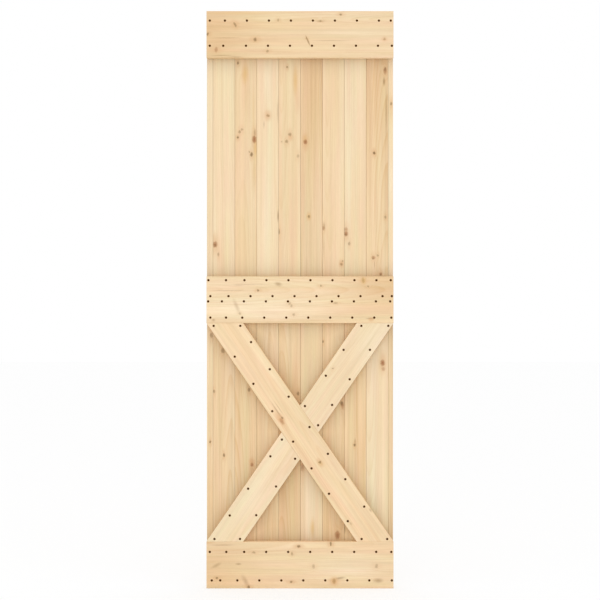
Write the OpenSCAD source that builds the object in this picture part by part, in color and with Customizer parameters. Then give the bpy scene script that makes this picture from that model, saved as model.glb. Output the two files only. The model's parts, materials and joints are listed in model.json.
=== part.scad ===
// Ledged and braced barn door leaf in pine.
// Two courses of tongue-and-groove boards stand one above the other. Three rails lie across their
// front and a cross of braces fills the field between the lower two, all fastened from the front
// with countersunk wood screws. The upper and lower boards meet end to end behind the middle rail.
// Origin: bottom centre of the leaf, on the plane where the rails lie against the boards.
// +X is to the right seen from the front, +Y goes to the back and +Z is up.

/* [Door] */
// Width of the leaf
door_w = 680; // [520:1:1000]
// Height of the leaf
door_h = 2100; // [1800:1:2400]

/* [Boards] */
// Thickness of the boards
board_t = 20; // [17:0.5:28]
// Face width that one full board covers
board_cover = 80; // [72:1:120]
// How far the full boards stand to the right of the middle of the leaf
board_shift = 2; // [-6:0.5:6]
// Least width that an edge board is ripped down to
least_strip_w = 16; // [16:1:20]
// Gap between the faces of two neighbouring boards
board_gap = 0.4; // [0.2:0.1:1.5]
// Gap between the ends of the upper and the lower boards
board_end_gap = 0.5; // [0.2:0.1:2]
// Height of the joint of upper and lower boards above the middle rail's lower edge
board_joint_in = 88.5; // [70:0.5:100]
// Bevel along the arrises of the boards
board_bevel = 0.8; // [0.4:0.1:2]
// How far a tongue stands out from its board
tongue_w = 6; // [4:0.5:8]
// Thickness of a tongue
tongue_t = 6; // [4:0.5:8]
// Play of a tongue in its groove, on each side
tongue_play = 0.2; // [0.1:0.05:0.5]
// Space left between the tip of a tongue and the bottom of its groove
groove_spare = 0.8; // [0.5:0.1:2]

/* [Rails] */
// Width of a rail, which is its height on the door
rail_w = 170; // [140:1:220]
// Thickness of the rails
rail_t = 20; // [16:0.5:25]
// Height of the middle rail's lower edge
middle_rail_z = 965; // [800:1:1150]
// Bevel along the arrises of rails and braces
batten_bevel = 1.5; // [0.5:0.1:3]

/* [Braces] */
// Width of a brace
brace_w = 110; // [80:1:140]
// Thickness of the braces
brace_t = 20; // [16:0.5:25]

/* [Screws] */
// Length of a screw, head and point included
screw_len = 35; // [28:1:36]
// Diameter of the shank
shank_d = 4; // [3:0.1:5]
// Diameter of the countersunk head
head_d = 7.6; // [6.5:0.1:9]
// Height of the straight rim of the head
head_rim = 0.4; // [0.2:0.1:0.8]
// How far the head lies below the face of the wood
head_sink = 0.4; // [0.1:0.1:1]
// Length of the point
point_len = 5; // [3:0.5:8]
// Width of the cross recess over two opposite wings
recess_w = 4.4; // [3:0.1:5]
// The same at the bottom of the recess
recess_end_w = 1.8; // [1.2:0.1:2.4]
// Thickness of one wing of the cross recess
wing_t = 1.1; // [0.8:0.1:1.5]
// Depth of the cross recess
recess_depth = 2; // [1:0.1:2.5]
// Play between a screw and the wood around it
screw_play = 0.1; // [0.05:0.05:0.3]

/* [Screw rows in the rails] */
// Top rail: upper row below the rail's upper edge
top_upper_in = 35; // [15:0.5:60]
// Top rail: lower row above the rail's lower edge
top_lower_in = 43.5; // [15:0.5:60]
// Middle rail: uppermost row below the rail's upper edge
middle_upper_in = 14; // [12:0.5:30]
// Middle rail: lowest row above the rail's lower edge
middle_lower_in = 20; // [12:0.5:30]
// Middle rail: the two inner rows from the joint of the board ends
board_end_in = 9.5; // [7:0.5:20]
// Bottom rail: upper row below the rail's upper edge
bottom_upper_in = 37; // [15:0.5:60]
// Bottom rail: lower row above the rail's lower edge
bottom_lower_in = 29.5; // [15:0.5:60]

/* [Screw places along the rows] */
// Each row: first full board and the others from their middle, left and right edge board from the edge.
// Top rail, upper row
top_upper_row = [5, 5, 12, 10]; // [-33:0.5:33]
// Top rail, lower row
top_lower_row = [-1, 1.5, 12, 6]; // [-33:0.5:33]
// Middle rail, uppermost row
middle_upper_row = [9, -4, 7, 10]; // [-33:0.5:33]
// Middle rail, row through the ends of the upper boards
upper_ends_row = [18, 18, 14, 6]; // [-33:0.5:33]
// Middle rail, row through the ends of the lower boards
lower_ends_row = [-6, -6, 6, 12]; // [-33:0.5:33]
// Middle rail, lowest row
middle_lower_row = [9, -12, 14, 8]; // [-33:0.5:33]
// Bottom rail, upper row
bottom_upper_row = [10, -5, 12, 8]; // [-33:0.5:33]
// Bottom rail, lower row
bottom_lower_row = [-12, -30, 19, 6]; // [-33:0.5:33]

/* [Screws in the braces] */
// Distance of a brace's two lines of screws from its edges
brace_line_in = 15.5; // [12:0.5:30]
// Distance between two pairs of screws along the long brace
long_pitch = 121; // [80:1:180]
// How far the long brace's pairs are set off along it from the middle of the cross
long_shift = -3.5; // [-20:0.5:20]
// How far the two screws of a pair are set off from each other along the long brace
long_stagger = 10; // [0:0.5:30]
// Least distance of a pair from the rails, along the long brace
long_end_in = 100; // [60:1:160]
// Distance between two screws of one line along a short brace
short_pitch = 124; // [80:1:180]
// First screw of a line on a short brace, from the rail
short_first_in = 118; // [90:1:150]
// Screws beside the crossing, from the edge of the long brace
joint_screw_in = 15; // [12:0.5:30]
// Two screws at the end of a brace, from the edge of its rail
end_screw_in = 10; // [8:0.5:20]
// Their distances from the outer and the inner corner: long brace, upper end
long_top_ends = [26, 10.5]; // [8:0.5:40]
// Long brace, lower end
long_bottom_ends = [23, 17.5]; // [8:0.5:40]
// Upper short brace
short_top_ends = [19, 16.5]; // [8:0.5:40]
// Lower short brace
short_bottom_ends = [29, 11.5]; // [8:0.5:40]

/* [Strays of the brace screws along their lines] */
// Long brace: each pair from the upper end down
long_strays = [0, -1, -1, 12, 9, 0, 0]; // [-15:0.5:15]
// Upper short brace, left line from the rail
upper_left_strays = [0, 10, 0]; // [-15:0.5:15]
// Upper short brace, right line
upper_right_strays = [0, -6, 5]; // [-15:0.5:15]
// Lower short brace, left line from the rail
lower_left_strays = [2, 8, -11]; // [-15:0.5:15]
// Lower short brace, right line
lower_right_strays = [1, -2, 0]; // [-15:0.5:15]

/* [Hidden] */
$fn = 48;
// How far a cut reaches past the face that it opens
cut_past = 1;
half_w = door_w / 2;
board_tone = [0.93, 0.81, 0.63];
rail_tone = [0.95, 0.84, 0.68];
brace_tone = [0.96, 0.86, 0.71];
screw_tone = [0.22, 0.16, 0.11];

// Full boards and the two edge boards that are ripped from the same stock
full_boards = floor((door_w - 2 * (least_strip_w + abs(board_shift))) / board_cover);
board_count = full_boards + 2;
first_full_x = board_shift - full_boards * board_cover / 2;
last_board = board_count - 1;
board_joint_z = middle_rail_z + board_joint_in;

function board_left(i) = i == 0 ? -half_w : first_full_x + (i - 1) * board_cover;
function board_right(i) = i == last_board ? half_w : first_full_x + i * board_cover;
function board_middle(i) = (board_left(i) + board_right(i)) / 2;

// The field between the bottom and the middle rail, which the cross of braces fills
field_h = middle_rail_z - rail_w;
cross_z = rail_w + field_h / 2;
// A brace's outer corners lie on the edges of the door
brace_angle = atan2(field_h, door_w) + asin(brace_w / norm([door_w, field_h]));
brace_cut_w = brace_w / sin(brace_angle);
crossing_angle = 180 - 2 * brace_angle;
// Braces are cut from stock of this length
batten_stock = 2 * norm([door_w, field_h]);
brace_line = brace_w / 2 - brace_line_in;
// A line's next screw keeps at least this distance from the screw that ends the line
least_spacing = 60;

// Places of the screws, each as [x, z] on the door

function row(set, z) = concat(
    [[-half_w + set[2], z]],
    [for (i = [1:full_boards]) [board_middle(i) + (i == 1 ? set[0] : set[1]), z]],
    [[half_w - set[3], z]]);

top_rail_places = concat(
    row(top_upper_row, door_h - top_upper_in),
    row(top_lower_row, door_h - rail_w + top_lower_in));
middle_rail_places = concat(
    row(middle_upper_row, middle_rail_z + rail_w - middle_upper_in),
    row(upper_ends_row, board_joint_z + board_end_in),
    row(lower_ends_row, board_joint_z - board_end_in),
    row(middle_lower_row, middle_rail_z + middle_lower_in));
bottom_rail_places = concat(
    row(bottom_upper_row, rail_w - bottom_upper_in),
    row(bottom_lower_row, bottom_lower_in));

// From along and across a brace to the door. The long brace falls to the right, a short one to the left.
function on_long(along, across) =
    [along * cos(brace_angle) + across * sin(brace_angle),
     cross_z - along * sin(brace_angle) + across * cos(brace_angle)];
function on_short(along, across) =
    [along * cos(brace_angle) + across * sin(brace_angle),
     cross_z + along * sin(brace_angle) - across * cos(brace_angle)];
function turned(places) = [for (p = places) [-p[0], 2 * cross_z - p[1]]];

// The two screws at the upper end of a brace that leans to the given side, and at the lower end
function upper_ends(side, ins) =
    [[side * (half_w - ins[0]), middle_rail_z - end_screw_in],
     [side * (half_w - brace_cut_w + ins[1]), middle_rail_z - end_screw_in]];
function lower_ends(side, ins) = turned(upper_ends(-side, ins));

long_pairs = floor((field_h / 2 / sin(brace_angle) - long_end_in) / long_pitch);
function long_station(i) =
    (i - long_pairs) * long_pitch + long_shift + long_strays[i % len(long_strays)];
long_line_places = [
    for (i = [0:2 * long_pairs], side = [-1, 1])
        on_long(long_station(i) - side * long_stagger / 2, side * brace_line)];
long_brace_places = concat(
    upper_ends(-1, long_top_ends), long_line_places, lower_ends(1, long_bottom_ends));

// One line of a short brace: from the rail towards the crossing, and the screw beside the crossing
function rail_cut(side) = (field_h / 2 + side * brace_line * cos(brace_angle)) / sin(brace_angle);
function joint_cut(side) = (brace_w / 2 - side * brace_line * cos(crossing_angle)) / sin(crossing_angle);
function short_line(side, strays) =
    let (first = rail_cut(side) - short_first_in,
         last = joint_cut(side) + joint_screw_in,
         count = floor((first - last - least_spacing) / short_pitch))
    concat([for (k = [0:count])
                on_short(first - k * short_pitch + strays[k % len(strays)], side * brace_line)],
           [on_short(last, side * brace_line)]);
upper_short_places = concat(
    upper_ends(1, short_top_ends),
    short_line(-1, upper_left_strays), short_line(1, upper_right_strays));
lower_short_places = concat(
    lower_ends(-1, short_bottom_ends),
    turned(concat(short_line(1, lower_left_strays), short_line(-1, lower_right_strays))));

rail_places = concat(top_rail_places, middle_rail_places, bottom_rail_places);
brace_places = concat(long_brace_places, upper_short_places, lower_short_places);

// Turned profile of a screw, or of its hole when play is given. It runs along +Z from the head.
module screw_profile(play, above, below) {
    head_r = head_d / 2 + play;
    shank_r = shank_d / 2 + play;
    cone_end = head_rim + head_r - shank_r;
    rotate_extrude()
        polygon([[0, -above], [head_r, -above], [head_r, head_rim], [shank_r, cone_end],
                 [shank_r, screw_len - point_len], [0, screw_len + below]]);
}

// Cross recess in the face of a head
module cross_recess() {
    for (turn = [0, 90])
        rotate([90, 0, turn])
            linear_extrude(height = wing_t, center = true)
                polygon([[-recess_w / 2, -cut_past], [-recess_w / 2, 0],
                         [-recess_end_w / 2, recess_depth], [recess_end_w / 2, recess_depth],
                         [recess_w / 2, 0], [recess_w / 2, -cut_past]]);
}

// Stands its child in a batten of the given thickness, along +Y from the front
module driven(place, batten_t) {
    translate([place[0], head_sink - batten_t, place[1]])
        rotate([-90, 0, 0])
            children();
}

module screw() {
    difference() {
        screw_profile(0, 0, 0);
        cross_recess();
    }
}

module screws(places, batten_t) {
    color(screw_tone)
        for (place = places)
            driven(place, batten_t) screw();
}

module screw_holes(places, batten_t) {
    for (place = places)
        driven(place, batten_t) screw_profile(screw_play, cut_past + head_sink, screw_play);
}

// Section of a board seen from above, front face at y = 0
function board_outline(i) =
    let (x0 = board_left(i) + (i > 0 ? board_gap / 2 : 0),
         x1 = board_right(i) - (i < last_board ? board_gap / 2 : 0),
         tip = x1 + tongue_w,
         tongue_y0 = (board_t - tongue_t) / 2,
         tongue_y1 = (board_t + tongue_t) / 2,
         groove_x = x0 + tongue_w - board_gap + groove_spare,
         b = board_bevel)
    concat(
        [[x0, b], [x0 + b, 0], [x1 - b, 0], [x1, b]],
        i < last_board
            ? [[x1, tongue_y0], [tip - b, tongue_y0], [tip, tongue_y0 + b],
               [tip, tongue_y1 - b], [tip - b, tongue_y1], [x1, tongue_y1]]
            : [],
        [[x1, board_t - b], [x1 - b, board_t], [x0 + b, board_t], [x0, board_t - b]],
        i > 0
            ? [[x0, tongue_y1 + tongue_play], [groove_x, tongue_y1 + tongue_play],
               [groove_x, tongue_y0 - tongue_play], [x0, tongue_y0 - tongue_play]]
            : []);

// The places out of a list whose holes meet board i between heights z0 and z1
function in_board(places, i, z0, z1) =
    let (reach = shank_d / 2 + screw_play)
    [for (p = places)
        if (p[0] > board_left(i) - reach && p[0] < board_right(i) + tongue_w + reach
            && p[1] > z0 - reach && p[1] < z1 + reach) p];

module board(i, z0, z1) {
    color(board_tone)
        difference() {
            translate([0, 0, z0])
                linear_extrude(height = z1 - z0)
                    polygon(board_outline(i));
            screw_holes(in_board(rail_places, i, z0, z1), rail_t);
            screw_holes(in_board(brace_places, i, z0, z1), brace_t);
        }
}

module lower_board(i) {
    board(i, 0, board_joint_z - board_end_gap / 2);
}

module upper_board(i) {
    board(i, board_joint_z + board_end_gap / 2, door_h);
}

// Planed batten with bevelled arrises, along X, its back at y = 0 and its middle line at z = 0
module batten(length, w, t) {
    b = batten_bevel;
    rotate([90, 0, 90])
        translate([0, 0, -length / 2])
            linear_extrude(height = length)
                polygon([[0, b - w / 2], [-b, -w / 2], [b - t, -w / 2], [-t, b - w / 2],
                         [-t, w / 2 - b], [b - t, w / 2], [-b, w / 2], [0, w / 2 - b]]);
}

module rail(z, places) {
    color(rail_tone)
        difference() {
            translate([0, 0, z + rail_w / 2]) batten(door_w, rail_w, rail_t);
            screw_holes(places, rail_t);
        }
}

// Everything between the bottom and the middle rail
module field() {
    translate([-batten_stock / 2, -brace_t - cut_past, rail_w])
        cube([batten_stock, brace_t + 2 * cut_past, field_h]);
}

module brace_blank(angle) {
    intersection() {
        translate([0, 0, cross_z]) rotate([0, angle, 0]) batten(batten_stock, brace_w, brace_t);
        field();
    }
}

module long_brace() {
    color(brace_tone)
        difference() {
            brace_blank(brace_angle);
            screw_holes(long_brace_places, brace_t);
        }
}

// The upper short brace before drilling. It is cut off along the edge of the long brace.
module short_brace_blank() {
    difference() {
        brace_blank(-brace_angle);
        translate([0, 0, cross_z])
            rotate([0, brace_angle, 0])
                translate([-batten_stock, -brace_t - cut_past, brace_w / 2 - batten_stock])
                    cube([2 * batten_stock, brace_t + 2 * cut_past, batten_stock]);
    }
}

module upper_short_brace() {
    color(brace_tone)
        difference() {
            short_brace_blank();
            screw_holes(upper_short_places, brace_t);
        }
}

module lower_short_brace() {
    color(brace_tone)
        difference() {
            translate([0, 0, 2 * cross_z]) rotate([0, 180, 0]) short_brace_blank();
            screw_holes(lower_short_places, brace_t);
        }
}

for (i = [0:last_board]) {
    upper_board(i);
    lower_board(i);
}
rail(door_h - rail_w, top_rail_places);  // top_rail
rail(middle_rail_z, middle_rail_places);  // middle_rail
rail(0, bottom_rail_places);  // bottom_rail
long_brace();
upper_short_brace();
lower_short_brace();
screws(top_rail_places, rail_t);  // top_rail_screws
screws(middle_rail_places, rail_t);  // middle_rail_screws
screws(bottom_rail_places, rail_t);  // bottom_rail_screws
screws(long_brace_places, brace_t);  // long_brace_screws
screws(upper_short_places, brace_t);  // upper_short_brace_screws
screws(lower_short_places, brace_t);  // lower_short_brace_screws
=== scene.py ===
"""Looks of a ledged and braced barn door leaf in pine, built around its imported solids."""

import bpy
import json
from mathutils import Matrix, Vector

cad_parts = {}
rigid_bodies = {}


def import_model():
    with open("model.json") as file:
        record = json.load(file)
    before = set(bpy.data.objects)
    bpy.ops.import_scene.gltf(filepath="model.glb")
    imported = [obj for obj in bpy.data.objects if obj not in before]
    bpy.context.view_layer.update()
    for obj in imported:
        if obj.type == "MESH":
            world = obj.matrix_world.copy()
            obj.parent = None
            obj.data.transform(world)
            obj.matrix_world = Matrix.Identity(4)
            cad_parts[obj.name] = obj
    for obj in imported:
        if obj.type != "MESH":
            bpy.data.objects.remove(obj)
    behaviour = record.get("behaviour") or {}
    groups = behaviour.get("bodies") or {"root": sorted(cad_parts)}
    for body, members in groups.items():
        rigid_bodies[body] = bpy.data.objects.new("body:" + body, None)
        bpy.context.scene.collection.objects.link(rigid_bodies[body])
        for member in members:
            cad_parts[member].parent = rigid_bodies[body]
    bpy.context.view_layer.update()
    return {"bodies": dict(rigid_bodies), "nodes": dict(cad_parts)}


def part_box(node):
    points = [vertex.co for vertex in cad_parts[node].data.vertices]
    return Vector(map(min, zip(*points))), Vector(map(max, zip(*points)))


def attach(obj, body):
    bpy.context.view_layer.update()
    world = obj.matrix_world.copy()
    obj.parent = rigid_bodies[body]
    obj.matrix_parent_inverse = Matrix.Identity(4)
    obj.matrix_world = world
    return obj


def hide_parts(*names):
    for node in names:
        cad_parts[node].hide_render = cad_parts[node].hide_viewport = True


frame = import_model()

import json
import math
import random

import bmesh
import bpy
from bpy.props import FloatProperty, FloatVectorProperty, PointerProperty
from mathutils import Euler, Vector

bl_info = {
    "name": "Pine barn door leaf",
    "version": (1, 0, 0),
    "blender": (4, 5, 0),
    "location": "3D View > Sidebar > Barn door",
    "description": "Planes, screws and finishes a ledged and braced barn door leaf",
    "category": "Add Mesh",
}

MM = 0.001
ROOT = "root" if "root" in frame["bodies"] else sorted(frame["bodies"])[0]
RAILS = ("top_rail", "middle_rail", "bottom_rail")
BRACES = ("long_brace", "upper_short_brace", "lower_short_brace")

# Tone of each piece and how light it is within that tone
TONES = {
    "upper_board_1": ("pale", 0.99), "upper_board_2": ("pale", 1), "upper_board_3": ("cream", 1),
    "upper_board_4": ("pale", 1), "upper_board_5": ("cream", 1), "upper_board_6": ("tan", 0.985),
    "upper_board_7": ("cream", 1), "upper_board_8": ("pale", 1), "upper_board_9": ("tan", 1),
    "upper_board_10": ("pale", 1.01),
    "lower_board_1": ("honey", 1.03), "lower_board_2": ("honey", 1.01), "lower_board_3": ("tan", 1),
    "lower_board_4": ("tan", 1), "lower_board_5": ("tan", 1), "lower_board_6": ("cream", 1),
    "lower_board_7": ("tan", 1.01), "lower_board_8": ("tan", 1.012), "lower_board_9": ("pale", 1),
    "lower_board_10": ("honey", 1.01),
    "top_rail": ("rail", 0.99), "middle_rail": ("rail", 1), "bottom_rail": ("rail", 1),
    "long_brace": ("rail", 1.007), "upper_short_brace": ("brace", 1), "lower_short_brace": ("brace", 1.005),
}

# Knots, stains and broad stretches: kind, x and z on the door, half width, half height (mm) and strength.
# On a brace, the width lies along the grain. A seventh number turns a spot, in degrees, right side down.
SPOTS = {
    "boards": [
        # Broad stretches of the upper boards
        ("pale", -330, 1780, 30, 240, 0.3), ("shade", -280, 1180, 50, 120, 0.4),
        ("shade", -200, 1190, 60, 170, 0.35), ("shade", -196, 1790, 12, 90, 0.4),
        ("shade", -167, 1520, 8, 70, 0.9), ("pale", -123, 1360, 24, 240, 0.18),
        ("pale", -122, 1850, 9, 70, 0.4), ("shade", 62, 1900, 40, 280, 0.6),
        ("pale", 40, 1170, 70, 330, 0.5), ("pale", 120, 1520, 40, 200, 0.2),
        ("pale", 176, 1500, 10, 260, 0.3), ("shade", 200, 1220, 50, 240, 0.45),
        ("shade", 285, 1890, 60, 220, 0.55), ("shade", 296, 1770, 5, 60, 0.5),
        ("pale", 272, 1290, 60, 260, 0.35), ("shade", 331, 1750, 20, 60, 0.7),
        ("pale", 331, 1470, 20, 90, 0.5),
        # Broad stretches of the lower boards
        ("shade", -330, 290, 30, 160, 0.65), ("pale", -330, 830, 30, 130, 0.4),
        ("shade", -280, 230, 40, 80, 0.4), ("shade", -118, 210, 50, 80, 0.45),
        ("pale", -118, 880, 50, 120, 0.35), ("shade", -38, 560, 60, 500, 0.75),
        ("pale", -38, 880, 40, 120, 0.6), ("pale", 42, 290, 50, 190, 0.4),
        ("shade", 42, 860, 60, 180, 0.35), ("shade", 120, 220, 40, 70, 0.45),
        ("pale", 122, 840, 50, 150, 0.3), ("pale", 202, 350, 50, 110, 0.3),
        ("pale", 282, 380, 50, 140, 0.18), ("pale", 282, 870, 40, 60, 0.2),
        ("shade", 331, 260, 20, 120, 0.3),
        # Knots and stains of the upper boards
        ("dark", -227, 1915, 4, 5, 0.7), ("amber", -201, 1876, 11, 36, 0.8),
        ("dark", -221, 1663, 5, 5, 0.5), ("dark", -212, 1672, 5, 5, 0.4),
        ("dark", -227, 1643, 4, 4, 0.85), ("amber", -170, 1740, 6, 90, 0.3),
        ("smear", -165, 1660, 4, 14, 0.52), ("red", -167, 1636, 7, 14, 0.85),
        ("amber", -163, 1600, 7, 34, 0.7), ("dark", -177, 1581, 5, 7, 0.8),
        ("dark", -185, 1590, 3, 3, 0.35), ("dark", -117, 1723, 6, 5, 0.6),
        ("blush", -118, 1724, 18, 20, 0.3), ("smear", -132, 1690, 3, 14, 0.3),
        ("smear", -81, 1740, 3, 40, 0.38), ("smear", -80, 1356, 3.5, 20, 0.68),
        ("dark", -77, 1299, 4.5, 10, 0.5), ("dark", -47, 1900, 4, 4, 0.65),
        ("amber", -17, 1850, 9, 52, 0.75), ("blush", -8, 1780, 8, 50, 0.2),
        ("dark", -37, 1654, 6, 6, 0.55), ("blush", -34, 1642, 12, 14, 0.3),
        ("dark", -49, 1628, 6, 6, 0.5), ("dark", -67, 1627, 3, 3, 0.3), ("dark", -7, 1575, 5, 7, 0.3),
        ("red", 20, 1627, 7, 9, 0.85), ("amber", 18, 1640, 7, 12, 0.4), ("dark", 32, 1354, 4, 4.5, 0.6),
        ("amber", 32, 1354, 9, 14, 0.5), ("smear", 88, 1318, 4, 15, 0.45), ("red", 86, 1311, 5, 7, 0.45),
        ("dark", 151, 1180, 5, 5, 0.6), ("blush", 152, 1183, 9, 12, 0.4), ("dark", 156, 1191, 3, 3, 0.4),
        ("smear", 272, 1178, 2, 14, 0.35), ("smear", 87, 1245, 2.5, 50, 0.3),
        ("red", 168, 1291, 7, 9, 0.75), ("dark", 168, 1288, 5, 5, 0.4), ("red", 168, 1307, 6, 8, 0.45),
        ("dark", 180, 1255, 4, 7, 0.4), ("red", 311, 1887, 6, 13, 0.6), ("dark", 311, 1893, 4, 6, 0.5),
        ("smear", 307, 1847, 4, 14, 0.75), ("smear", 315, 1735, 2.5, 85, 0.6),
        ("dark", 271, 1586, 5, 5, 0.9), ("dark", 312, 1352, 4, 6, 0.45), ("red", 268, 1204, 7, 6, 0.5),
        ("dark", 266, 1201, 4, 4, 0.4), ("dark", 284, 1212, 4, 4, 0.4), ("red", 295, 1145, 5, 6, 0.5),
        ("dark", 295, 1142, 4, 4, 0.45), ("dark", 333, 1766, 4, 6, 0.6), ("red", -310, 1252, 8, 11, 0.75),
        ("dark", -310, 1249, 4, 5, 0.5), ("dark", -298, 1216, 4, 7, 0.4),
        # Knots and stains of the lower boards
        ("dark", -324, 920, 5, 9, 0.5), ("dark", -328, 531, 4, 5, 0.75), ("dark", -314, 715, 4, 6, 0.5),
        ("dark", -282, 864, 7, 9, 0.5), ("dark", -278, 482, 4, 6, 0.75), ("dark", -186, 721, 5, 7, 0.6),
        ("red", -175, 447, 6, 7, 0.7), ("blush", -177, 458, 9, 14, 0.45), ("dark", -7, 707, 5, 7, 0.65),
        ("red", 8, 438, 8, 15, 0.4), ("amber", 46, 215, 8, 34, 0.75), ("dark", 84, 897, 4, 5, 0.65),
        ("dark", 153, 670, 6, 8, 0.7), ("red", 156, 661, 6, 12, 0.4), ("red", 137, 190, 9, 15, 0.75),
        ("smear", 163, 215, 4, 18, 0.52), ("dark", 200, 519, 4, 5, 0.75),
        ("smear", 201, 532, 2.5, 12, 0.45), ("red", 302, 819, 8, 11, 0.85), ("red", 304, 797, 7, 7, 0.35)],
    "top_rail": [
        ("shade", -360, 2010, 180, 220, 0.95), ("pale", 230, 2010, 220, 150, 0.4),
        ("dark", -236, 2050, 4, 10, 0.6, -28), ("dark", -163, 1996, 6, 7, 0.75),
        ("dark", -79, 2067, 4, 5, 0.4), ("dark", 74, 2063, 4, 4, 0.4), ("smear", 74, 2063, 17, 3, 0.45),
        ("dark", 148, 2087, 5, 4, 0.65), ("dark", 23, 2002, 3, 5, 0.4),
        ("smear", 29, 1991, 3, 18, 0.95, -24), ("dark", 307, 1998, 4, 5, 0.4),
        ("blush", 307, 1998, 9, 9, 0.3), ("red", -305, 1959, 6, 10, 0.45),
        ("dark", -118, 1954, 5, 5, 0.45), ("dark", -336, 2016, 4, 6, 0.7),
        ("amber", -200, 2092, 130, 9, 0.35), ("amber", 60, 2015, 420, 110, 0.16),
        ("smear", -266, 2002, 52, 1.8, 0.45), ("smear", -285, 1938, 36, 2.2, 0.45),
        ("smear", -235, 1933, 26, 2.2, 0.45), ("smear", 108, 1992, 62, 1.6, 0.38)],
    "middle_rail": [
        ("shade", 360, 1090, 190, 75, 1.0), ("pale", -170, 1015, 270, 42, 0.9),
        ("dark", -153, 1084, 4, 4, 0.75), ("smear", -79, 1107, 13, 7, 0.6, 12),
        ("dark", 76, 1101, 4, 4, 0.5), ("amber", 231, 1119, 9, 13, 0.8),
        ("dark", 230, 1120, 5, 9, 0.55, -15), ("dark", 248, 1098, 4, 3, 0.45),
        ("dark", -38, 1037, 5, 7, 0.3), ("dark", -31, 1028, 4, 6, 0.35), ("dark", 129, 1038, 8, 4, 0.35),
        ("dark", -23, 996, 5, 5, 0.35), ("smear", -231, 1027, 7, 26, 0.36, -23),
        ("dark", -219, 1000, 4, 5, 0.3), ("smear", -222, 1104, 18, 4, 0.25),
        ("smear", -315, 976, 6, 5, 0.5), ("blush", 259, 978, 10, 8, 0.55),
        ("smear", 256, 982, 16, 2.5, 0.6), ("smear", -260, 1083, 70, 1.5, 0.38),
        ("smear", -180, 1106, 60, 1.6, 0.3)],
    "bottom_rail": [
        ("shade", -360, 70, 190, 130, 0.75), ("shade", -330, 15, 230, 35, 0.45),
        ("pale", 170, 75, 130, 45, 0.6), ("pale", 60, 28, 250, 22, 0.4),
        ("dark", -5, 153, 6, 5, 0.75), ("dark", 112, 162, 4, 7, 0.8), ("dark", -29, 126, 4, 7, 0.4),
        ("dark", -168, 131, 6, 4, 0.4), ("smear", -224, 89, 10, 4, 0.52),
        ("smear", -304, 84, 18, 6, 0.42, -28), ("dark", 49, 80, 5, 9, 0.3), ("dark", 278, 81, 6, 8, 0.35),
        ("dark", 124, 27, 6, 9, 0.6), ("amber", 124, 26, 12, 15, 0.5), ("blush", 124, 26, 14, 15, 0.25),
        ("smear", 146, 38, 18, 4.5, 0.6, -8), ("smear", 284, 29, 17, 8, 0.6),
        ("dark", -32, 24, 5, 4, 0.65), ("dark", -302, 38, 5, 4, 0.6),
        ("smear", -198, 26, 8, 23, 0.42, -29), ("dark", -187, 6, 5, 5, 0.7),
        ("smear", -280, 158, 40, 2, 0.52)],
    "long_brace": [
        ("red", -66, 608, 13, 6, 0.55), ("blush", -72, 616, 22, 14, 0.4),
        ("smear", -84, 646, 34, 3, 0.45), ("smear", -78, 658, 30, 2, 0.38), ("dark", -64, 620, 5, 4, 0.6),
        ("dark", 73, 459, 5, 5, 0.85), ("amber", 76, 454, 14, 11, 0.4), ("smear", 256, 285, 8, 4, 0.45),
        ("smear", 185, 236, 7, 4, 0.38)],
    "upper_short_brace": [("dark", 119, 800, 3, 3, 0.45), ("pale", 262, 910, 100, 40, 0.4)],
    "lower_short_brace": [("pale", -170, 320, 110, 40, 0.35)],
}
SPOT_COLOURS = {
    "dark": (0.50, 0.395, 0.205), "red": (0.68, 0.405, 0.195), "amber": (0.90, 0.73, 0.46),
    "blush": (0.86, 0.62, 0.41), "smear": (0.56, 0.40, 0.21)}
HALO = (0.86, 0.66, 0.46)
KNOT_RIM = (0.25, 0.15, 0.08)
KNOT_HEART = (0.40, 0.24, 0.12)

# What the figure of the wood does to the tone of its piece
STRETCHES = {"pale": (1.07, 1.17, 1.32), "shade": (0.91, 0.83, 0.74)}
PEACH = (1.003, 0.989, 0.980)
CREAM = (0.998, 1.010, 1.012)
LATEWOOD = (0.930, 0.865, 0.750)
END_GRAIN = (0.900, 0.810, 0.680)
END_RINGS = (0.740, 0.600, 0.440)

# How strongly the rings and the streaks show in each tone, and the length of a streak in mm
FIGURE = {"pale": (0.55, 0.75, 900), "cream": (0.6, 0.85, 900), "honey": (0.9, 1.2, 450),
          "tan": (1, 1.35, 800), "rail": (0.75, 1, 260), "brace": (0.5, 0.8, 320)}

# Darkness of a growth ring from its spring to its autumn
RING_STOPS = ((0.0, 0.25), (0.05, 0.0), (0.45, 0.12), (0.74, 0.5), (0.9, 1.0), (0.97, 0.85), (1.0, 0.25))

# Size of the blots of each noise in mm: across the face, into the wood and, but for streaks, along the grain
WANDER_BLOTS = (95, 95, 520)
RING_BLOTS = (38, 38, 700)
STREAK_BLOTS = (13, 25)
BAND_BLOTS = (32, 45, 1300)
FIBRE_BLOTS = (0.6, 0.9, 42)
PORE_BLOTS = (0.7, 0.9, 9)
FLUSH_BLOTS = (26, 40, 240)
FRAY_BLOTS = (7, 7, 7)

# Where the pith may lie: mm to one side, mm behind the middle of the piece, and its lean
PITH_ASIDE = (8, 75)
PITH_BEHIND = (30, 75)
PITH_LEAN = (0.012, 0.035)

# Good and poor years: how often they change in each mm from the pith, and by how many rings
YEARS_PACE = 0.045
YEARS_SPREAD = 3.0

# How fast the push of a knot on the rings fades away from it
PUSH_FADE = 0.35

# Fraying of outlines in mm: a knot's, what is added to it along the grain, and a stain's
KNOT_FRAY = 4
GRAIN_FRAY = 5
STAIN_FRAY = 1.6

# Where knots, stains and the haze round knots start and where they are full, in half sizes from the middle
KNOT_EDGE = (1.4, 0.4)
STAIN_EDGE = (1.6, 0.0)
HAZE_EDGE = (2.8, 0.3)

# Rings in each half size of a knot, where its rim lies in half sizes, and how sharp the rim is
KNOT_RINGS = 2.6
RIM_PLACE = 0.85
RIM_SHARPNESS = 5

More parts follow.
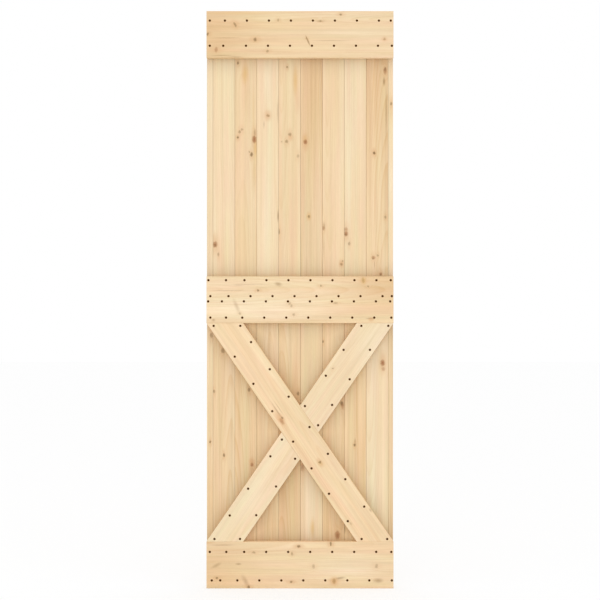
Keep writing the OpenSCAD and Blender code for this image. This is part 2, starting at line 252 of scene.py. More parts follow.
# How strongly the rings, the rim and the heart of a knot show
CIRCLE_SHARE = 0.3
RIM_SHARE = 0.35
HEART_SHARE = 0.35

# How much stretches and haze show and what a streak adds to that, and the same for spots and fibres
STRETCH_SHARE = (0.6, 0.8)
HAZE_SHARE = (0.35, 0.4)
SPOT_SHARE = (0.66, 0.36)

# Powers by which green and blue fade as the wood darkens, and what a flush adds to pink and takes from green
GREEN_FADE = 1.25
BLUE_FADE = 1.65
FLUSH_GAIN = 0.04
FLUSH_LOSS = 0.09

# How much pores darken the wood, how strongly rings show on sawn ends, and how much of an end is recoloured
PORE_SHADE = 0.06
SAWN_RINGS = 0.8
SAWN_SHARE = 0.7

# Depth of the relief of planed pine
RELIEF_DEPTH = 0.12 * MM

# Sides of a turned hole and of a turned screw, and how far a cutter reaches beyond the wood
HOLE_SIDES = 28
SCREW_SIDES = 20
BEYOND = 1 * MM

# Easing of a screw head's edge, thickness left at the point, and taper of a recess wing to its bottom
HEAD_EASE = 0.12 * MM
TIP_SHARE = 0.04
WING_TAPER = (0.4, 1, 0.62)

# Stage: the lamp's place, size and aim, the floor's width and how far the camera sees, in m
LAMP_PLACE = (-0.6, -5.5, 2.6)
LAMP_SIZE = (4.0, 3.0)
LAMP_AIM = (0, 0, 1.0)
FLOOR_W = 30
CLIP_END = 100

# Width of the camera's sensor in mm
SENSOR_W = 36.0

# Light of the sky at the sides and how much less it is in front and behind, as shares of its strength
SKY_SIDES = 1.25
SKY_LOSS = 0.5

# Glow of the floor and its share in what is seen of the floor
FLOOR_GLOW = 1.05
GLOW_SHARE = 0.6


def linear(colour):
    """A colour as it looks on a screen, turned into the light that it reflects."""
    return [c / 12.92 if c <= 0.04045 else ((c + 0.055) / 1.055) ** 2.4 for c in colour]


def tinted(tone, factors):
    """A tone with a factor on each of its three colours, turned into light."""
    return linear([min(1, c * f) for c, f in zip(tone, factors)])


class Value:
    """An output socket that stands in Python sums, each of which adds a Math node."""

    def __init__(self, nodes, socket):
        self.nodes = nodes
        self.socket = socket

    def math(self, operation, *values):
        return self.nodes.node("Math", {"operation": operation}, values)

    def __add__(self, other):
        return self.math("ADD", self, other)

    __radd__ = __add__

    def __sub__(self, other):
        return self.math("SUBTRACT", self, other)

    def __rsub__(self, other):
        return self.math("SUBTRACT", other, self)

    def __mul__(self, other):
        return self.math("MULTIPLY", self, other)

    __rmul__ = __mul__

    def __truediv__(self, other):
        return self.math("DIVIDE", self, other)

    def __rtruediv__(self, other):
        return self.math("DIVIDE", other, self)

    def __pow__(self, other):
        return self.math("POWER", self, other)

    def least(self, other):
        return self.math("MINIMUM", self, other)

    def most(self, other):
        return self.math("MAXIMUM", self, other)

    def part(self):
        return self.math("FRACT", self)

    def size(self):
        return self.math("ABSOLUTE", self)

    def between(self, start, end, low=0.0, high=1.0):
        """Goes smoothly from low to high as the value goes from start to end."""
        inputs = {"Value": self, "From Min": start, "From Max": end, "To Min": low, "To Max": high}
        return self.nodes.node("MapRange", {"interpolation_type": "SMOOTHSTEP"}, inputs)


class Nodes:
    """The nodes of a material or of the sky."""

    def __init__(self, tree):
        self.tree = tree

    def node(self, kind, settings=None, inputs=(), output=0):
        """Adds a node of a type, with its settings and then the values or links of its sockets."""
        made = self.tree.nodes.new("ShaderNode" + kind)
        for name, value in (settings or {}).items():
            if name == "stops":
                self.set_stops(made.color_ramp, value)
            else:
                setattr(made, name, value)
        for key, value in inputs.items() if isinstance(inputs, dict) else enumerate(inputs):
            self.feed(made.inputs[key], value)
        return Value(self, made.outputs[output])

    def set_stops(self, ramp, stops):
        while len(ramp.elements) < len(stops):
            ramp.elements.new(0.5)
        for element, (position, level) in zip(ramp.elements, stops):
            element.position = position
            element.color = (level, level, level, 1)

    def feed(self, socket, value):
        if isinstance(value, Value):
            self.tree.links.new(value.socket, socket)
        elif socket.type == "RGBA":
            socket.default_value = (*value[:3], 1)
        else:
            socket.default_value = value

    def vector(self, operation, *values, output=0):
        return self.node("VectorMath", {"operation": operation}, values, output)

    def split(self, vector):
        made = self.node("SeparateXYZ", None, [vector])
        return [Value(self, s) for s in made.socket.node.outputs]

    def mix(self, share, first, second, blend="MIX"):
        """Colour mix; the factor and the two colours are the first, seventh and eighth sockets."""
        settings = {"data_type": "RGBA", "blend_type": blend}
        return self.node("Mix", settings, {0: share, 6: first, 7: second}, 2)


class Finish(Nodes):
    """A material in the making."""

    def __init__(self, name):
        self.material = bpy.data.materials.new(name)
        self.material.use_nodes = True
        super().__init__(self.material.node_tree)
        self.shader = self.tree.nodes["Principled BSDF"]

    def set(self, **sockets):
        """Feeds the shader's own sockets, such as base_color."""
        names = {s.name.lower().replace(" ", "_"): s for s in self.shader.inputs}
        for name, value in sockets.items():
            self.feed(names[name], value)


class Grain:
    """Where a piece lies on the door and which way its grain runs."""

    def __init__(self, middle, turn=0.0):
        self.middle = Vector(middle)
        self.turn = turn
        self.along = Vector((-math.sin(turn), 0, math.cos(turn)))
        self.upright = turn == 0
        self.tilt = 0.0 if self.upright else -turn - math.pi / 2

    def place(self, finish):
        """Object coordinates in mm: across the face, into the wood and along the grain."""
        spin = Euler((0, self.turn, 0))
        scaled = self.middle / MM
        scaled.rotate(spin)
        coordinates = finish.node("TexCoord", output="Object")
        inputs = {"Vector": coordinates, "Location": -scaled, "Rotation": spin, "Scale": [1 / MM] * 3}
        return finish.node("Mapping", None, inputs)

    def end(self, finish):
        """One on the ends of the piece, where the fibres are cut across, and none elsewhere."""
        normal = finish.node("TexCoord", output="Normal")
        facing = finish.vector("DOT_PRODUCT", normal, self.along, output="Value")
        return facing.size().between(0.55, 0.85)


def noise(finish, place, sizes, shift, detail=2.0, roughness=0.5, output=0):
    """Noise whose blots have the given sizes in mm across, into and along the wood."""
    vector = finish.vector("MULTIPLY_ADD", place, [1 / s for s in sizes], shift)
    inputs = {"Vector": vector, "Scale": 1.0, "Detail": detail, "Roughness": roughness}
    return finish.node("TexNoise", None, inputs, output)


def moved(shift, step):
    """A place in the field of noise, a step away from that of the piece."""
    return [s + step for s in shift]


def spots(finish, grain, listed):
    """Masks by kind of spot, distance to the nearest knot in its half sizes, and haze round the knots."""
    knot_reach = [(KNOT_FRAY + GRAIN_FRAY * abs(part)) * MM for part in grain.along]
    stain_reach = [STAIN_FRAY * MM] * 3
    stretch = (1, 1, 0.5) if grain.upright else (0.5, 1, 1)
    door = finish.node("TexCoord", output="Object")
    fray = noise(finish, door, [size * MM for size in FRAY_BLOTS], (3.1, 4.7, 1.9), 2.0, 0.5, "Color")
    knot_field = finish.vector("MULTIPLY_ADD", fray, knot_reach, door)
    stain_field = finish.vector("MULTIPLY_ADD", fray, stain_reach, door)
    masks = {}
    nearest = haze = None
    for kind, x, z, half_w, half_h, strength, *slant in listed:
        knot = kind in ("dark", "red")
        field, reach, edge = (
            (knot_field, knot_reach, KNOT_EDGE) if knot else (stain_field, stain_reach, STAIN_EDGE))
        inputs = {
            "Vector": field,
            "Location": (x * MM + reach[0] / 2, 0, z * MM + reach[2] / 2),
            "Rotation": (0, grain.tilt + math.radians(sum(slant)), 0),
            "Scale": (half_w * MM, 1, half_h * MM)}
        offset = finish.node("Mapping", {"vector_type": "TEXTURE"}, inputs)
        near = finish.vector("LENGTH", offset, output="Value")
        mask = near.between(*edge, 0.0, strength)
        masks[kind] = mask if kind not in masks else masks[kind].most(mask)
        if knot:
            nearest = near if nearest is None else nearest.least(near)
            drawn_out = finish.vector("MULTIPLY", offset, stretch)
            around = finish.vector("LENGTH", drawn_out, output="Value").between(*HAZE_EDGE, 0.0, strength)
            haze = around if haze is None else haze.most(around)
    return masks, nearest, haze


def face_end(node):
    """Where a board's face ends on the right: its tongue lies behind the next board."""
    course, number = node.rsplit("_", 1)
    after = f"{course}_{int(number) + 1}"
    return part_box(after)[0].x if after in frame["nodes"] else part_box(node)[1].x


def spots_on(node):
    """The listed spots whose middles lie on a piece."""
    if "_board_" not in node:
        return SPOTS.get(node, [])
    low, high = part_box(node)
    end = face_end(node)
    return [s for s in SPOTS["boards"] if low.x <= s[1] * MM < end and low.z <= s[2] * MM < high.z]


def least_of(values):
    """The smallest of several values."""
    least = values[0]
    for value in values[1:]:
        least = least.least(value)
    return least


def corner_shade_and_joints(finish, node):
    """How dark a board's face is: painted shade beside rails and braces, and its dark joints."""
    settings = bpy.context.scene.door_pine
    width = bpy.context.scene.door_timber.brace_w
    x, _, z = finish.split(finish.node("TexCoord", output="Object"))
    low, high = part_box(node)
    gaps = []
    for rail in RAILS:
        rail_low, rail_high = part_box(rail)
        if rail_high.z > low.z and rail_low.z < high.z:
            middle, half = (rail_low.z + rail_high.z) / 2, (rail_high.z - rail_low.z) / 2
            gaps.append((z - middle).size() - half)
    if high.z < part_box("top_rail")[0].z:
        brace_low, brace_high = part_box("long_brace")
        middle = (brace_low.z + brace_high.z) / 2
        for turn in (brace_turn(), -brace_turn()):
            gaps.append((x * math.sin(turn) + (z - middle) * math.cos(turn)).size() - width / 2)
    normal = finish.node("TexCoord", output="Normal")
    facing = finish.vector("DOT_PRODUCT", normal, (0, -1, 0), output="Value")
    # Painted shade beside the rails and braces, falling off with the distance from the nearest of them
    corner = (1 - least_of(gaps).most(0) / settings.corner_reach).most(0) ** 3

    half_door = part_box("top_rail")[1].x
    edges = [edge for edge in (low.x, face_end(node)) if abs(edge) < half_door - MM]
    seam = (1 - least_of([(x - edge).size() for edge in edges]) / settings.joint_reach).most(0)
    return corner * facing.between(0.2, 0.7) * settings.corner_shade + seam * settings.joint_shade


def pith_distance(finish, place, shift, draw):
    """Distance in mm from the pith, which lies behind the face, wanders and leans a little."""
    wander = noise(finish, place, WANDER_BLOTS, shift, 1.0, 0.5, "Color")
    reach = [bpy.context.scene.door_pine.wander] * 3
    bent = finish.vector("MULTIPLY_ADD", wander, reach, place)
    across, depth, along = finish.split(bent)
    pith_x = draw.choice((-1, 1)) * draw.uniform(*PITH_ASIDE)
    pith_y = draw.uniform(*PITH_BEHIND)
    lean = draw.choice((-1, 1)) * draw.uniform(*PITH_LEAN)
    side = across - pith_x
    back = depth - pith_y - along * lean
    return (side * side + back * back) ** 0.5


def growth_rings(finish, place, shift, radius, nearest):
    """Growth rings, from none in spring wood to one in autumn wood. Knots push them outwards."""
    settings = bpy.context.scene.door_pine
    if nearest is not None:
        radius = radius + settings.knot_pull / (1 + nearest * nearest * PUSH_FADE) ** 2
    years = {"W": radius * YEARS_PACE + shift[0], "Scale": 1.0}
    uneven = finish.node("TexNoise", {"noise_dimensions": "1D"}, years)
    turns = radius / settings.ring_width + uneven * YEARS_SPREAD
    rings = finish.node("ValToRGB", {"stops": RING_STOPS}, [turns.part()])
    return rings * noise(finish, place, RING_BLOTS, shift[::-1], 1.0).between(0.3, 0.7, 0.4, 1.0)


def with_spots(finish, colour, masks, haze, streaks, fibres, light):
    """Lays the broad stretches, the haze round the knots and the spots over the wood."""
    for kind, factors in STRETCHES.items():
        if kind in masks:
            share = masks[kind] * (STRETCH_SHARE[0] + streaks * STRETCH_SHARE[1])
            colour = finish.mix(share, colour, finish.mix(1.0, colour, factors, "MULTIPLY"))
    if haze is not None:
        colour = finish.mix(haze * (HAZE_SHARE[0] + streaks * HAZE_SHARE[1]), colour, linear(HALO))
    for kind, mask in masks.items():
        if kind in SPOT_COLOURS:
            hue = linear([c * light for c in SPOT_COLOURS[kind]])
            colour = finish.mix(mask * (SPOT_SHARE[0] + fibres * SPOT_SHARE[1]), colour, hue)
    return colour


def with_knots(finish, colour, masks, nearest, fibres):
    """Draws the heart, the rings and the dark rim of the knots."""
    knots = masks.get("dark", masks.get("red"))
    knots = knots.most(masks.get("red", 0.0))
    circles = (nearest * KNOT_RINGS + fibres * 0.3).part().between(0.5, 0.95, 0.0, CIRCLE_SHARE)
    rim = (1 - (nearest - RIM_PLACE).size() * RIM_SHARPNESS).most(0) * RIM_SHARE
    heart = nearest.between(0.7, 0.0, 0.0, HEART_SHARE)
    colour = finish.mix(heart * knots, colour, linear(KNOT_HEART))
    return finish.mix((circles + rim) * knots, colour, linear(KNOT_RIM))


def planed_surface(finish, rings, fibres, pores):
    """A matt planed surface: autumn rings and fibres stand a little proud and pores are sunk in."""
    finish.set(roughness=0.6 - rings * 0.1 + fibres * 0.08, specular_ior_level=0.3)
    height = rings * 0.35 + fibres * 0.5 - pores * 0.6
    strength = bpy.context.scene.door_pine.bump
    bump = {"Strength": strength, "Distance": RELIEF_DEPTH, "Height": height}
    finish.set(normal=finish.node("Bump", None, bump))


def pine(node, grain):
    """Planed pine with growth rings, streaks, fibres, pores, knots, stains and sawn ends."""
    tone_name, light = TONES[node]
    settings = bpy.context.scene.door_pine
    draw = random.Random(node)
    finish = Finish(node + "_pine")
    shift = [draw.uniform(-40, 40) for _ in range(3)]
    place = grain.place(finish)
    radius = pith_distance(finish, place, shift, draw)
    masks, nearest, haze = spots(finish, grain, spots_on(node))
    rings = growth_rings(finish, place, shift, radius, nearest)

    ring_share, streak_share, streak_length = FIGURE[tone_name]
    streaks = noise(finish, place, (*STREAK_BLOTS, streak_length), moved(shift, 7), 3.0, 0.55)
    bands = noise(finish, place, BAND_BLOTS, moved(shift, 13), 2.0)
    fibres = noise(finish, place, FIBRE_BLOTS, moved(shift, 21), 3.0, 0.65)
    pores = noise(finish, place, PORE_BLOTS, moved(shift, 29), 1.0).between(0.66, 0.76)

    tone = [c * light for c in getattr(settings, tone_name)]
    contrast, stripe = settings.ring_contrast * ring_share, settings.streaks * streak_share
    colour = finish.mix(bands.between(0.36, 0.64), tinted(tone, CREAM), tinted(tone, PEACH))
    colour = finish.mix(rings * contrast, colour, tinted(tone, LATEWOOD))
    shade = 1 + (streaks - 0.5) * stripe + (fibres - 0.5) * settings.fibres - pores * PORE_SHADE
    flush = noise(finish, place, FLUSH_BLOTS, moved(shift, 37), 1.0) - 0.5

    # Darker wood is redder: green fades faster than red, and blue faster still
    red = shade * (1 + flush * FLUSH_GAIN)
    green = shade ** GREEN_FADE * (1 - flush * FLUSH_LOSS)
    blue = shade ** BLUE_FADE * (1 + flush * FLUSH_GAIN)
    level = finish.node("CombineColor", None, [red, green, blue])
    colour = finish.mix(1.0, colour, level, "MULTIPLY")

    colour = with_spots(finish, colour, masks, haze, streaks, fibres, light)
    if nearest is not None:
        colour = with_knots(finish, colour, masks, nearest, fibres)
    sawn = finish.mix(rings * SAWN_RINGS, tinted(tone, END_GRAIN), tinted(tone, END_RINGS))
    colour = finish.mix(grain.end(finish) * SAWN_SHARE, colour, sawn)
    # Boards take painted shade beside rails and braces, and darken at their joints
    if "_board_" in node:
        shade_and_joint_level = 1 - corner_shade_and_joints(finish, node)
        level = finish.node("CombineColor", None, [shade_and_joint_level, shade_and_joint_level, shade_and_joint_level])
        colour = finish.mix(1.0, colour, level, "MULTIPLY")
    finish.set(base_color=colour)
    planed_surface(finish, rings, fibres, pores)
    return finish.material


def screw_steel():
    """Brown bronzed steel, a little worn in patches."""
    finish = Finish("bronzed_steel")
    place = finish.node("TexCoord", output="Object")
    patches = noise(finish, place, [2.5 * MM] * 3, (2, 5, 9), 3.0)
    dark = linear((0.33, 0.18, 0.02))
    worn = linear((0.42, 0.26, 0.06))
    finish.set(base_color=finish.mix(patches.between(0.45, 0.8), dark, worn))
    finish.set(roughness=patches.between(0.3, 0.7, 0.34, 0.56))
    finish.set(metallic=0.6, specular_ior_level=0.05)
    return finish.material


def bruised_pine():
    """Pine pressed and stained brown round the head of a screw, partly a real stain and partly painted shade
    in and round the screw's hole.
    """
    known = bpy.data.materials.get("bruised_pine")
    if known:
        return known
    finish = Finish("bruised_pine")
    place = finish.node("TexCoord", output="Object")
    blotches = noise(finish, place, [1.5 * MM] * 3, (4, 1, 6), 2.0)
    dark, light = linear((0.29, 0.17, 0.04)), linear((0.42, 0.27, 0.08))
    finish.set(base_color=finish.mix(blotches.between(0.35, 0.7), dark, light))
    finish.set(roughness=blotches.between(0.3, 0.7, 0.7, 0.85))
    finish.set(specular_ior_level=0.1)
    return finish.material


def deselect():
    bpy.ops.object.select_all(action="DESELECT")


def active(obj):
    deselect()
    obj.select_set(True)
    bpy.context.view_layer.objects.active = obj


def apply_place():
    """Puts the selected objects at the origin, with their places in their meshes."""
    bpy.ops.object.transform_apply(location=True, rotation=True, scale=True)


def cut_away(piece, cutter, material_mode="INDEX"):
    """Takes the shape of a cutter out of a piece and deletes the cutter."""
    active(piece)
    cut = piece.modifiers.new("Cut", "BOOLEAN")
    cut.operation = "DIFFERENCE"
    cut.solver = "EXACT"
    cut.material_mode = material_mode
    cut.object = cutter
    bpy.ops.object.modifier_apply(modifier=cut.name)
    bpy.data.objects.remove(cutter)


def turned(sides, rings):
    """A closed piece turned about +Y, from where each of its rings lies on the axis and its radius."""
    y, radius = rings[0]
    deselect()
    bpy.ops.mesh.primitive_circle_add(
        vertices=sides, radius=radius, fill_type="NGON", rotation=(math.pi / 2, 0, 0))
    made = bpy.context.object
    apply_place()
    bpy.ops.object.mode_set(mode="EDIT")
    bpy.ops.mesh.select_all(action="SELECT")
    bpy.ops.transform.translate(value=(0, y, 0))
    for next_y, next_radius in rings[1:]:
        bpy.ops.mesh.extrude_region_move(TRANSFORM_OT_translate={"value": (0, next_y - y, 0)})
        scale = next_radius / radius
        bpy.ops.transform.resize(value=(scale, 1, scale), center_override=(0, next_y, 0))
        y, radius = next_y, next_radius
    bpy.ops.mesh.select_all(action="SELECT")
    bpy.ops.mesh.normals_make_consistent(inside=False)
    bpy.ops.object.mode_set(mode="OBJECT")
    return made


def select_edges(obj, wanted):
    """In edit mode, selects the edges for which wanted(edge) holds, and no others."""
    bpy.ops.mesh.select_mode(type="EDGE")
    bpy.ops.mesh.select_all(action="DESELECT")
    mesh = bmesh.from_edit_mesh(obj.data)
    for edge in mesh.edges:
        if wanted(edge):
            edge.select_set(True)
    mesh.select_flush_mode()
    bmesh.update_edit_mesh(obj.data)


def brace_turn():
    """Angle of the braces to the horizontal: their outer corners lie on the edges of the door."""
    width = bpy.context.scene.door_timber.brace_w
    low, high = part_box("long_brace")
    run, rise = high.x - low.x, high.z - low.z
    return math.atan2(rise, run) + math.asin(width / math.hypot(run, rise))


def screw_places(node):
    """Where the screws of a group stand on the door: their tips reach furthest back."""
    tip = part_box(node)[1].y - 0.01 * MM
    points = (v.co for v in frame["nodes"][node].data.vertices)
    return sorted({(round(p.x, 5), round(p.z, 5)) for p in points if p.y > tip})


def planed_batten(name, middle, size, turn=0.0, cuts=()):
    """A batten of a size, turned on the door's face and cut off at planes that are a point and a normal."""
    timber = bpy.context.scene.door_timber
    deselect()
    bpy.ops.mesh.primitive_cube_add(size=1, location=middle, rotation=(0, turn, 0), scale=size)
    batten = bpy.context.object
    batten.name = name
    apply_place()
    bpy.ops.object.mode_set(mode="EDIT")
    for point, normal in cuts:
        bpy.ops.mesh.select_all(action="SELECT")
        bpy.ops.mesh.bisect(plane_co=point, plane_no=normal, use_fill=True, clear_outer=True)
    along = Vector((math.cos(turn), 0, -math.sin(turn)))

    def runs_along(edge):
        direction = (edge.verts[1].co - edge.verts[0].co).normalized()
        return abs(direction.dot(along)) > 0.999

    select_edges(batten, lambda edge: not runs_along(edge))
    bpy.ops.mesh.bevel(offset=timber.end_arris, segments=2, affect="EDGES", clamp_overlap=True)
    select_edges(batten, lambda edge: runs_along(edge) and edge.calc_face_angle() > 1.0)
    bpy.ops.mesh.bevel(offset=timber.arris, segments=3, affect="EDGES", clamp_overlap=True)
    bpy.ops.object.mode_set(mode="OBJECT")
    return batten


def countersink():
    """The hole of one screw, its mouth at the origin and its length along +Y, as a closed cutter."""
    screw = bpy.context.scene.door_screws
    head_r = screw.head_d / 2 + screw.play
    shank_r = screw.shank_d / 2 + screw.play
    mouth_r = head_r + screw.crush
    rim_end = screw.sink + screw.head_rim
    cutter = turned(HOLE_SIDES, [
        (-BEYOND, mouth_r), (0.0, mouth_r), (0.15 * MM, head_r + 0.35 * screw.crush), (screw.sink, head_r),
        (rim_end, head_r), (rim_end + head_r - shank_r, shank_r), (screw.batten_t + BEYOND, shank_r)])
    # The hole's walls and mouth take the bruised pine, a stain that also paints shade into the hole
    cutter.data.materials.append(bruised_pine())
    return cutter


def copies_at(master, places, face_y, name, turns=None):
    """Copies of a piece, each moved to its place on the door and all joined into one."""
    made = []
    for index, (x, z) in enumerate(places):
        copy = master.copy()
        copy.data = master.data.copy()
        bpy.context.collection.objects.link(copy)
        copy.location = (x, face_y, z)
        if turns:
            copy.rotation_euler = (0, turns[index], 0)
        made.append(copy)
    deselect()
    for copy in made:
        copy.select_set(True)
    bpy.context.view_layer.objects.active = made[0]
    bpy.ops.object.join()
    joined = bpy.context.object
    joined.name = name
    apply_place()
    return joined


def bore(batten, node, cutter):
    """Countersinks a batten for the screws of a CAD node."""
    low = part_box(node)[0]
    drill = copies_at(cutter, screw_places(node + "_screws"), low.y, node + "_drill")
    cut_away(batten, drill, "TRANSFER")


def finish_timber(piece, node):
    """Smooth arrises with flat faces between them."""
    active(piece)
    bpy.ops.object.shade_smooth_by_angle(angle=math.radians(40))
    weighted = piece.modifiers.new("Flat faces", "WEIGHTED_NORMAL")
    weighted.keep_sharp = True
    weighted.weight = 100
    bpy.ops.object.modifier_apply(modifier=weighted.name)
    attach(piece, ROOT)
    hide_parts(node)
    "rail_pine" if node in RAILS else "brace_pine"


def colour_setting(name, default):
    return FloatVectorProperty(
        name=name, description=f"Colour of the {name.lower()}", subtype="COLOR_GAMMA", size=3,
        min=0, max=1, default=default)


def length_setting(name, description, default):
    return FloatProperty(name=name, description=description, unit="LENGTH", min=0, default=default)


class DoorPine(bpy.types.PropertyGroup):
    """Tones and figure of the pine."""

    pale: colour_setting("Pale boards", (0.965, 0.870, 0.720))
    cream: colour_setting("Cream boards", (0.955, 0.845, 0.685))
    honey: colour_setting("Honey boards", (0.935, 0.825, 0.665))
    tan: colour_setting("Tan boards", (0.940, 0.820, 0.650))
    rail: colour_setting("Rails", (0.965, 0.853, 0.695))
    brace: colour_setting("Braces", (0.965, 0.872, 0.728))
    ring_width: FloatProperty(
        name="Ring width", description="Mean width of a growth ring in mm", min=1, default=4.2)
    ring_contrast: FloatProperty(
        name="Ring contrast", description="How dark the latewood is", min=0, max=1, default=0.5)
    wander: FloatProperty(
        name="Wander", description="How far the pith wanders in mm", min=0, default=16)
    knot_pull: FloatProperty(
        name="Knot pull", description="How far a knot pushes the rings out in mm", min=0, default=13)
    streaks: FloatProperty(
        name="Streaks", description="How much the wood changes from streak to streak", min=0, default=0.3)
    fibres: FloatProperty(
        name="Fibres", description="How much single fibres show", min=0, default=0.22)
    # Painted shade on the boards beside rails and braces, then the darkening of their joints
    corner_shade: FloatProperty(
        name="Corner shade", description="How much darker the boards are beside rails and braces",
        min=0, max=1, default=0.25)
    corner_reach: FloatProperty(
        name="Corner reach", description="Where that shade ends", unit="LENGTH", min=0.001, default=0.11)
    joint_shade: FloatProperty(
        name="Joint shade", description="How much darker the boards are at their joints",
        min=0, max=1, default=0.1)
    joint_reach: FloatProperty(
        name="Joint reach", description="Where that shade ends", unit="LENGTH", min=0.0001, default=0.002)
    bump: FloatProperty(
        name="Relief", description="Strength of the relief of rings and fibres", min=0, max=1, default=0.5)


class DoorTimber(bpy.types.PropertyGroup):
    """Sizes of the planed timber."""

    brace_w: length_setting("Brace width", "Width of a brace", 110 * MM)
    arris: length_setting("Arris", "Rounding along the grain", 1.6 * MM)
    end_arris: length_setting("End arris", "Rounding of the sawn ends", 0.5 * MM)


class DoorScrews(bpy.types.PropertyGroup):
    """Sizes of the screws."""

    head_d: length_setting("Head", "Diameter of the countersunk head", 7.6 * MM)
    head_rim: length_setting("Rim", "Height of the straight rim of the head", 0.4 * MM)
    shank_d: length_setting("Shank", "Diameter of the shank", 4 * MM)
    length: length_setting("Length", "Length with head and point", 35 * MM)
    point: length_setting("Point", "Length of the point", 5 * MM)
    recess_w: length_setting("Recess", "Width of the cross recess", 4.4 * MM)
    recess_depth: length_setting("Recess depth", "Depth of the cross recess", 2 * MM)
    wing_t: length_setting("Wing", "Thickness of a wing of the recess", 1.1 * MM)
    sink: length_setting("Sink", "How far the head lies below the face", 0.4 * MM)
    play: length_setting("Play", "Play between the screw and the wood", 0.1 * MM)
    crush: length_setting("Crush", "How far the mouth of a hole is pressed open", 0.5 * MM)
    batten_t: length_setting("Batten", "Thickness of rails and braces", 20 * MM)


class DoorStage(bpy.types.PropertyGroup):
    """Camera and light."""

    distance: length_setting("Distance", "From the camera to the face of the rails", 4.1)
    height: length_setting("Height", "Height of the camera", 1.049)
    view_w: length_setting("View", "Width of the view at the face of the rails", 2.1816)
    sky: FloatProperty(name="Sky", description="Strength of the light from all around", min=0, default=0.92)
    lamp: FloatProperty(name="Lamp", description="Power of the soft lamp in W", min=0, default=38)


class DOOR_OT_stage(bpy.types.Operator):
    """Sets the floor, the white surroundings, the lamp and the camera"""

    bl_idname = "door.stage"
    bl_label = "Stage"

    def execute(self, context):
        stage = context.scene.door_stage
        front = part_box("middle_rail")[0].y
        deselect()
        bpy.ops.object.camera_add(
            location=(0, front - stage.distance, stage.height), rotation=(math.pi / 2, 0, 0))
        camera = context.object
        camera.data.sensor_width = SENSOR_W
        camera.data.lens = SENSOR_W * stage.distance / stage.view_w
        camera.data.clip_end = CLIP_END
        context.scene.camera = camera

        bpy.ops.object.light_add(type="AREA", location=LAMP_PLACE)
        lamp = context.object
        lamp.data.shape = "RECTANGLE"
        lamp.data.size, lamp.data.size_y = LAMP_SIZE
        lamp.data.energy = stage.lamp
        aim = Vector(LAMP_AIM) - lamp.location
        lamp.rotation_euler = aim.to_track_quat("-Z", "Y").to_euler()

        bpy.ops.mesh.primitive_plane_add(size=FLOOR_W)
        floor = context.object
        floor.name = "floor"
        floor.data.materials.append(floor_paint())
        white_surroundings(stage.sky)
        context.scene.view_settings.view_transform = "Standard"
        return {"FINISHED"}


def seen(nodes):
    """One for what the camera sees, straight or through gloss and glass."""
    sockets = nodes.node("LightPath").socket.node.outputs
    straight, gloss, through = (
        Value(nodes, sockets[n]) for n in ("Is Camera Ray", "Is Glossy Ray", "Is Transmission Ray"))
    return straight.most(gloss).most(through)


def floor_paint():
    """A pale floor that shows as white and keeps a soft shadow."""
    finish = Finish("pale_floor")
    finish.set(base_color=linear((0.97, 0.97, 0.97)), roughness=0.9)
    white = finish.node("Emission", None, {"Color": (1, 1, 1), "Strength": FLOOR_GLOW})
    mixed = finish.node("MixShader", None, [seen(finish) * GLOW_SHARE])
    sockets = mixed.socket.node.inputs
    finish.tree.links.new(finish.shader.outputs[0], sockets[1])
    finish.feed(sockets[2], white)
    finish.feed(finish.tree.nodes["Material Output"].inputs["Surface"], mixed)
    return finish.material


def white_surroundings(strength):
    """A sky that shows as white, and lights more from the sides than from in front and behind."""
    world = bpy.context.scene.world or bpy.data.worlds.new("Surroundings")
    bpy.context.scene.world = world
    world.use_nodes = True
    sky = Nodes(world.node_tree)
    background = world.node_tree.nodes["Background"]
    facing = sky.split(sky.node("TexCoord", output="Generated"))[1].size()
    light = (SKY_SIDES - facing * SKY_LOSS) * strength
    shown = seen(sky)
    sky.feed(background.inputs["Color"], (1, 1, 1))
    sky.feed(background.inputs["Strength"], shown + (1 - shown) * light)


class DOOR_OT_boards(bpy.types.Operator):
    """Gives each matched board its own pine"""

    bl_idname = "door.boards"
    bl_label = "Boards"

    def execute(self, context):
        for node, obj in frame["nodes"].items():
            if "_board_" in node:
                low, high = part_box(node)
                material = pine(node, Grain((low + high) / 2))
                obj.data.materials.clear()
                obj.data.materials.append(material)
        return {"FINISHED"}


class DOOR_OT_rails(bpy.types.Operator):
    """Planes, eases and countersinks the three rails"""

    bl_idname = "door.rails"
    bl_label = "Rails"

    def execute(self, context):
        cutter = countersink()
        for node in RAILS:
            low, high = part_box(node)
            rail = planed_batten("planed_" + node, (low + high) / 2, high - low)
            rail.data.materials.append(pine(node, Grain((low + high) / 2, -math.pi / 2)))
            bore(rail, node, cutter)
            finish_timber(rail, node)
        bpy.data.objects.remove(cutter)
        return {"FINISHED"}


class DOOR_OT_braces(bpy.types.Operator):
    """Cuts the long brace and the two short braces that butt against it"""

    bl_idname = "door.braces"
    bl_label = "Braces"

    def execute(self, context):
        width = context.scene.door_timber.brace_w
        turn = brace_turn()
        low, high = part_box("long_brace")
        middle = (low + high) / 2
        size = (2 * (high - low).length, high.y - low.y, width)
        ends = [((0, 0, high.z), (0, 0, 1)), ((0, 0, low.z), (0, 0, -1))]
        edge = Vector((math.sin(turn), 0, math.cos(turn)))
        sides = {
            "long_brace": (turn, []),
            "upper_short_brace": (-turn, [(middle + edge * width / 2, -edge)]),
            "lower_short_brace": (-turn, [(middle - edge * width / 2, edge)]),
        }
        cutter = countersink()
        for node, (angle, joint) in sides.items():
            brace = planed_batten("planed_" + node, middle, size, angle, ends + joint)
            brace.data.materials.append(pine(node, Grain(middle, -angle - math.pi / 2)))
            bore(brace, node, cutter)
            finish_timber(brace, node)
        bpy.data.objects.remove(cutter)
        return {"FINISHED"}


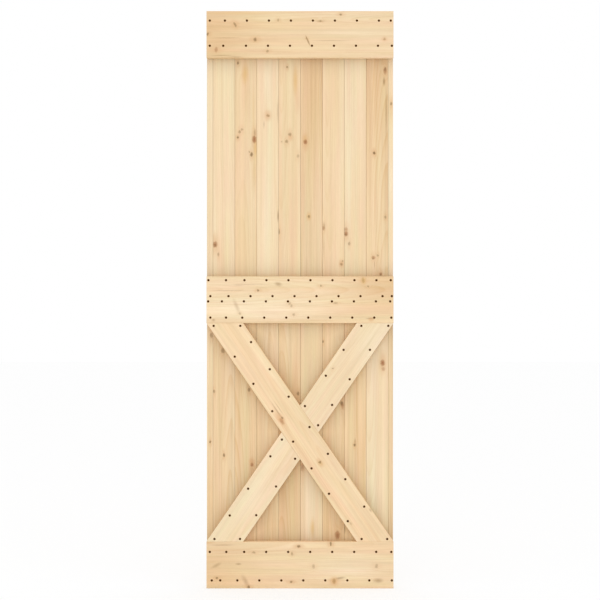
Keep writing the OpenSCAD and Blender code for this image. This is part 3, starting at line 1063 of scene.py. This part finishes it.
class DOOR_OT_screws(bpy.types.Operator):
    """Drives the countersunk screws with their cross recesses"""

    bl_idname = "door.screws"
    bl_label = "Screws"

    def execute(self, context):
        master = wood_screw()
        steel = screw_steel()
        draw = random.Random("screws")
        for carrier in RAILS + BRACES:
            node = carrier + "_screws"
            places = screw_places(node)
            turns = [draw.uniform(0, math.pi) for _ in places]
            head_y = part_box(node)[0].y
            screws = copies_at(master, places, head_y, "driven_" + node, turns)
            screws.data.materials.clear()
            screws.data.materials.append(steel)
            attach(screws, ROOT)
            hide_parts(node)
        bpy.data.objects.remove(master)
        return {"FINISHED"}


def wood_screw():
    """One screw, its head's face at the origin and its point along +Y."""
    screw = bpy.context.scene.door_screws
    head_r, shank_r = screw.head_d / 2, screw.shank_d / 2
    cone_end = screw.head_rim + head_r - shank_r
    made = turned(SCREW_SIDES, [
        (0.0, head_r - HEAD_EASE), (HEAD_EASE, head_r), (screw.head_rim, head_r), (cone_end, shank_r),
        (screw.length - screw.point, shank_r), (screw.length, shank_r * TIP_SHARE)])
    for turn in (0, math.pi / 2):
        cut_away(made, recess_wing(turn))
    active(made)
    bpy.ops.object.shade_smooth_by_angle(angle=math.radians(30))
    return made


def recess_wing(turn):
    """One wing of the cross recess, narrower at its bottom."""
    screw = bpy.context.scene.door_screws
    above = 0.2 * MM
    depth = screw.recess_depth + above
    deselect()
    bpy.ops.mesh.primitive_cube_add(
        size=1, location=(0, depth / 2 - above, 0), scale=(screw.recess_w, depth, screw.wing_t))
    wing = bpy.context.object
    apply_place()
    bpy.ops.object.mode_set(mode="EDIT")
    bpy.ops.mesh.select_mode(type="FACE")
    bpy.ops.mesh.select_all(action="DESELECT")
    mesh = bmesh.from_edit_mesh(wing.data)
    for face in mesh.faces:
        face.select_set(face.normal.y > 0.9)
    bmesh.update_edit_mesh(wing.data)
    bpy.ops.transform.resize(value=WING_TAPER, center_override=(0, screw.recess_depth, 0))
    bpy.ops.object.mode_set(mode="OBJECT")
    wing.rotation_euler = (0, turn, 0)
    apply_place()
    return wing


class DOOR_PT_panel(bpy.types.Panel):
    """The steps of the door in their order"""

    bl_idname = "DOOR_PT_panel"
    bl_label = "Barn door"
    bl_space_type = "VIEW_3D"
    bl_region_type = "UI"
    bl_category = "Barn door"

    def draw(self, context):
        for operator in OPERATORS:
            self.layout.operator(operator.bl_idname)


GROUPS = {
    "door_pine": DoorPine, "door_timber": DoorTimber, "door_screws": DoorScrews, "door_stage": DoorStage}
OPERATORS = (DOOR_OT_stage, DOOR_OT_boards, DOOR_OT_rails, DOOR_OT_braces, DOOR_OT_screws)


def register():
    for group in (*GROUPS.values(), *OPERATORS, DOOR_PT_panel):
        bpy.utils.register_class(group)
    for name, group in GROUPS.items():
        setattr(bpy.types.Scene, name, PointerProperty(type=group))


def unregister():
    for name in GROUPS:
        delattr(bpy.types.Scene, name)
    for group in (*GROUPS.values(), *OPERATORS, DOOR_PT_panel):
        bpy.utils.unregister_class(group)


def main():
    register()
    bpy.ops.door.stage()
    bpy.ops.door.boards()
    bpy.ops.door.rails()
    bpy.ops.door.braces()
    bpy.ops.door.screws()


if __name__ == "__main__":
    main()
